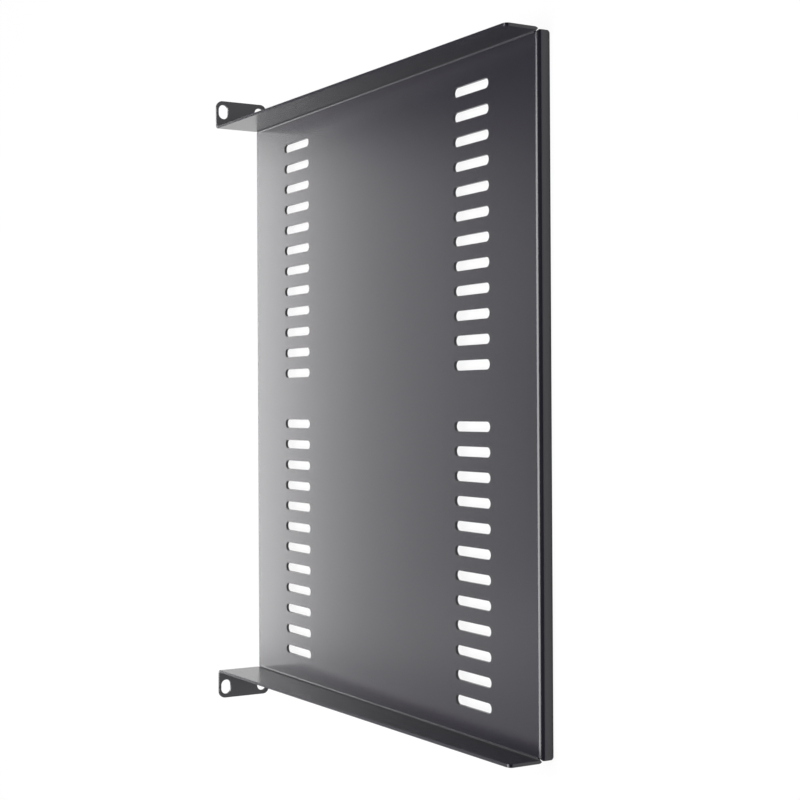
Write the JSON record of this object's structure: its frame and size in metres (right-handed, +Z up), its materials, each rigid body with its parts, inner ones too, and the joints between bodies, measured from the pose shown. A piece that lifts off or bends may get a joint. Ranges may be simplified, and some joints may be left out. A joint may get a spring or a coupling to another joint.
{
  "type": "cantilever rack shelf",
  "caption": "One-piece folded steel shelf for a 19-inch rack, with a slotted tray, low tapered side walls, stiffening lips and two bolt-on front ears.",
  "frame": {"origin": "centre of the four rack holes, on the plane of the ears' rear faces, which bear on the rack's front rails", "axes": "+X across the rack, along its width; +Y from the ears towards the rear, the way the ears' bearing faces look; +Z up, square to the tray"},
  "size_m": [0.4826, 0.4, 0.0436],
  "materials": {
    "powder_coat": "satin black powder coat on cold-rolled steel sheet"
  },
  "bodies": {
    "root": {"shelf": "powder_coat"}
  },
  "joints": []
}
